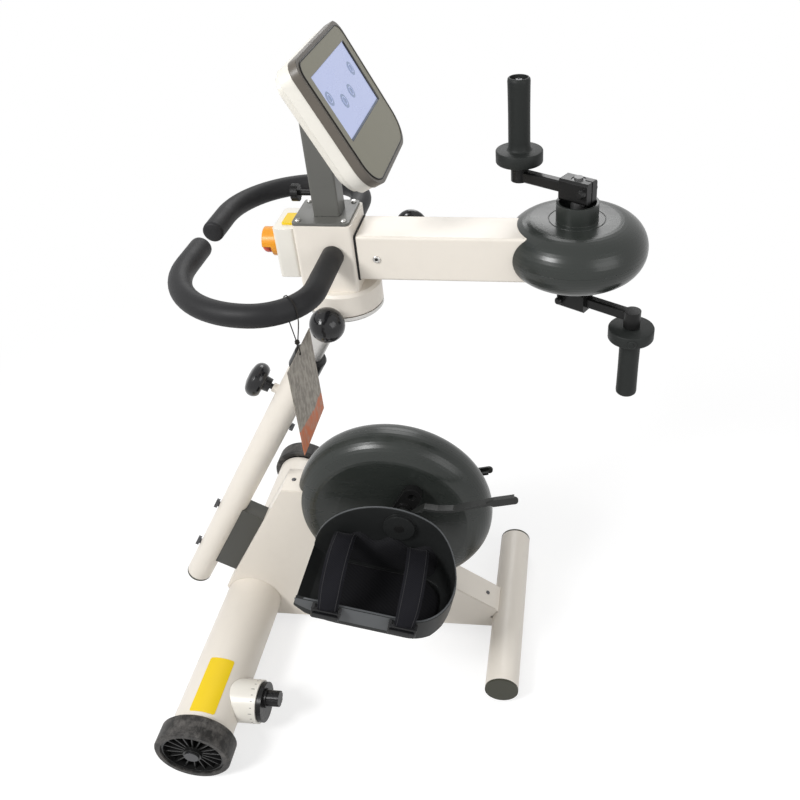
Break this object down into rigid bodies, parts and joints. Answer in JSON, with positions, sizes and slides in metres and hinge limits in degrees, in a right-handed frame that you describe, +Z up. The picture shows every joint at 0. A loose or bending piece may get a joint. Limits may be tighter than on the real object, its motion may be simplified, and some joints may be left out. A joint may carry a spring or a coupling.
{
  "type": "arm and leg ergometer",
  "caption": "Floor-standing arm and leg crank trainer: leaning height-adjustable column, swivelling head with hand cranks, handlebar and console, and strapped foot trays on a low drum.",
  "frame": {"origin": "on the floor, in the middle plane, halfway along the machine between the column's foot and the lower hand grip", "axes": "+X from the front cross tube towards the user's side and the arm crank, +Y across the machine, away from the side with the dial and the ball knob, +Z up"},
  "size_m": [0.8826, 0.764, 1.1293],
  "materials": {
    "cream_paint": "satin powder coat",
    "cream_plastic": "moulded",
    "drum_plastic": "satin moulded",
    "grey_paint": "satin",
    "dark_bracket": "satin",
    "bright_steel": "brushed",
    "silver_post": "satin",
    "hidden_metal": "cast",
    "black_gloss": "polished",
    "black_matte": "moulded",
    "black_rubber": "matte",
    "wheel_grey": "scuffed",
    "foam": "closed-cell foam",
    "tray_plastic": "moulded",
    "strap_web": "woven tape",
    "cap_olive": "moulded",
    "yellow_plastic": "moulded",
    "red_plastic": "moulded",
    "bezel_brown": "moulded",
    "panel_champagne": "printed film",
    "screen_glass": "clear window over the display",
    "tag_card": "paper card",
    "tag_cord": "twisted string"
  },
  "bodies": {
    "base": {"front_tube": "cream_paint", "dial_housing": "cream_plastic", "housing_shell": "cream_paint", "housing_covers": "cream_paint", "base_screws": "black_matte", "rear_tube": "cream_paint", "end_caps": "cap_olive", "rear_feet": "black_rubber", "column_bracket": "dark_bracket", "column_tube": "cream_paint", "column_collar": "black_matte", "leg_drum_near": "drum_plastic", "leg_drum_far": "drum_plastic", "leg_motor": "hidden_metal", "leg_bearings": "hidden_metal"},
    "dial": {"dial_knob": "black_matte"},
    "near_wheel": {"near_wheel_tyre": "wheel_grey", "near_wheel_hub": "wheel_grey"},
    "far_wheel": {"far_wheel_tyre": "wheel_grey", "far_wheel_hub": "wheel_grey"},
    "post": {"inner_post": "silver_post"},
    "height_lock": {"height_knob": "black_gloss"},
    "head": {"turntable": "cream_paint", "head_box": "cream_paint", "top_plate": "grey_paint", "head_screws": "bright_steel", "handlebar_tubes": "bright_steel", "hand_foams": "foam", "switch_box": "cream_plastic", "estop_collar": "yellow_plastic", "hang_tag": "tag_card", "tag_string": "tag_cord"},
    "swivel_lock": {"swivel_knob": "black_gloss"},
    "stop_button": {"estop_button": "red_plastic"},
    "console_mast": {"console_post": "grey_paint"},
    "mast_clamp": {"console_knob": "black_matte"},
    "console": {"console_back": "cream_plastic", "console_bezel": "bezel_brown", "console_panel": "panel_champagne", "console_screen": "screen_glass"},
    "arm_beam": {"beam_tube": "cream_paint", "beam_seam": "black_rubber", "arm_drum_upper": "drum_plastic", "arm_drum_lower": "drum_plastic", "arm_motor": "hidden_metal"},
    "roll_lock": {"beam_knob": "black_gloss"},
    "arm_crank": {"arm_shaft": "bright_steel", "upper_crank": "black_matte", "lower_crank": "black_matte"},
    "upper_handle": {"upper_grip": "foam"},
    "lower_handle": {"lower_grip": "foam"},
    "leg_crank": {"leg_shaft": "bright_steel", "near_leg_crank": "black_matte", "far_leg_crank": "black_matte"},
    "near_pedal": {"near_foot_tray": "tray_plastic", "near_tray_straps": "strap_web"},
    "far_pedal": {"far_foot_tray": "tray_plastic", "far_tray_straps": "strap_web"},
    "near_guide": {"near_calf_bar": "dark_bracket"},
    "far_guide": {"far_calf_bar": "dark_bracket"}
  },
  "joints": [
    {"name": "near_wheel_spin", "type": "hinge", "parent": "base", "child": "near_wheel", "pos_m": [-0.29951, -0.36, 0.066], "axis": [0, 1, 0], "continuous": true},
    {"name": "far_wheel_spin", "type": "hinge", "parent": "base", "child": "far_wheel", "pos_m": [-0.29951, 0.36, 0.066], "axis": [0, 1, 0], "continuous": true},
    {"name": "dial_turn", "type": "hinge", "parent": "base", "child": "dial", "pos_m": [-0.18951, -0.267, 0.066], "axis": [1, 0, 0], "range_deg": [0, 270]},
    {"name": "post_height", "type": "slide", "parent": "base", "child": "post", "axis": [0.5075, 0, 0.8616], "range_m": [0, 0.12]},
    {"name": "height_knob_pull", "type": "slide", "parent": "base", "child": "height_lock", "axis": [-0.8616, 0, 0.5075], "range_m": [0, 0.01], "stiffness_N_per_m": 900, "springref_m": -0.002},
    {"name": "head_swivel", "type": "hinge", "parent": "post", "child": "head", "pos_m": [-0.02581, 0, 0.741], "axis": [0, 0, 1], "range_deg": [0, 180]},
    {"name": "swivel_knob_pull", "type": "slide", "parent": "head", "child": "swivel_lock", "axis": [-0.0872, -0.9962, 0], "range_m": [0, 0.008], "stiffness_N_per_m": 900, "springref_m": -0.002},
    {"name": "stop_press", "type": "slide", "parent": "head", "child": "stop_button", "axis": [1, 0, 0], "range_m": [0, 0.004], "stiffness_N_per_m": 900, "springref_m": -0.002},
    {"name": "mast_height", "type": "slide", "parent": "head", "child": "console_mast", "axis": [0, 0, 1], "range_m": [0, 0.05]},
    {"name": "mast_clamp_turn", "type": "hinge", "parent": "console_mast", "child": "mast_clamp", "pos_m": [-0.07681, 0, 0.9223], "axis": [1, 0, 0], "range_deg": [0, 360]},
    {"name": "console_tilt", "type": "hinge", "parent": "console_mast", "child": "console", "pos_m": [-0.01227, 0, 1.06191], "axis": [0, 1, 0], "range_deg": [-17, 12]},
    {"name": "beam_roll", "type": "hinge", "parent": "head", "child": "arm_beam", "pos_m": [0.01069, 0, 0.838], "axis": [1, 0, 0], "range_deg": [0, 90]},
    {"name": "roll_lock_turn", "type": "hinge", "parent": "arm_beam", "child": "roll_lock", "pos_m": [0.07269, 0.06, 0.844], "axis": [0, 1, 0], "range_deg": [0, 360]},
    {"name": "arm_crank_spin", "type": "hinge", "parent": "arm_beam", "child": "arm_crank", "pos_m": [0.32219, 0.0175, 0.838], "axis": [0, 0, 1], "continuous": true},
    {"name": "upper_grip_spin", "type": "hinge", "parent": "arm_crank", "child": "upper_handle", "pos_m": [0.23706, 0.06804, 1.008], "axis": [0, 0, 1], "continuous": true},
    {"name": "lower_grip_spin", "type": "hinge", "parent": "arm_crank", "child": "lower_handle", "pos_m": [0.40731, -0.03304, 0.668], "axis": [0, 0, 1], "continuous": true},
    {"name": "leg_crank_spin", "type": "hinge", "parent": "base", "child": "leg_crank", "pos_m": [0.00849, 0, 0.312], "axis": [0, 1, 0], "continuous": true},
    {"name": "near_pedal_spin", "type": "hinge", "parent": "leg_crank", "child": "near_pedal", "pos_m": [0.03949, -0.1, 0.36569], "axis": [0, 1, 0], "continuous": true},
    {"name": "far_pedal_spin", "type": "hinge", "parent": "leg_crank", "child": "far_pedal", "pos_m": [-0.02251, 0.1, 0.25831], "axis": [0, 1, 0], "continuous": true},
    {"name": "near_guide_swing", "type": "hinge", "parent": "near_pedal", "child": "near_guide", "pos_m": [0.03949, -0.09, 0.36569], "axis": [0, 1, 0], "range_deg": [-40, 40]},
    {"name": "far_guide_swing", "type": "hinge", "parent": "far_pedal", "child": "far_guide", "pos_m": [-0.02251, 0.09, 0.25831], "axis": [0, 1, 0], "range_deg": [-40, 40]}
  ]
}
